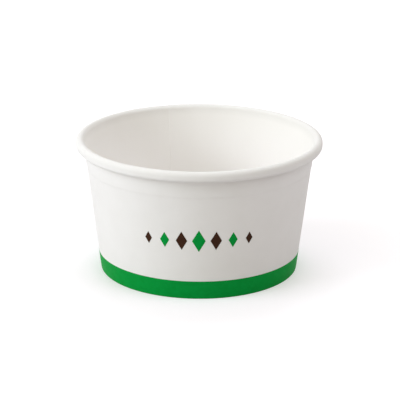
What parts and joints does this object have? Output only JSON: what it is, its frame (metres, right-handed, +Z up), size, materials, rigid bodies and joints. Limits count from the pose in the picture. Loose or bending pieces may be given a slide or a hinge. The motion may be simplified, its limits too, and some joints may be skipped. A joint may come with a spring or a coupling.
{
  "type": "paper ice cream cup",
  "caption": "Round tapered cup of coated board with an outward rolled rim, a lapped side seam, a recessed base and a printed band round the foot.",
  "frame": {"origin": "on the cup's axis, in the plane that the foot stands on", "axes": "+Z up along the cup's axis, -Y towards the printed front, +X to the right of the front"},
  "size_m": [0.087, 0.087, 0.0479],
  "materials": {
    "white_board": "satin, coated inside and out",
    "green_ink": "satin print",
    "brown_ink": "satin print"
  },
  "bodies": {
    "root": {"side_wall": "white_board", "base_disc": "white_board", "printed_band": "green_ink", "green_motifs": "green_ink", "brown_motifs": "brown_ink"}
  },
  "joints": []
}
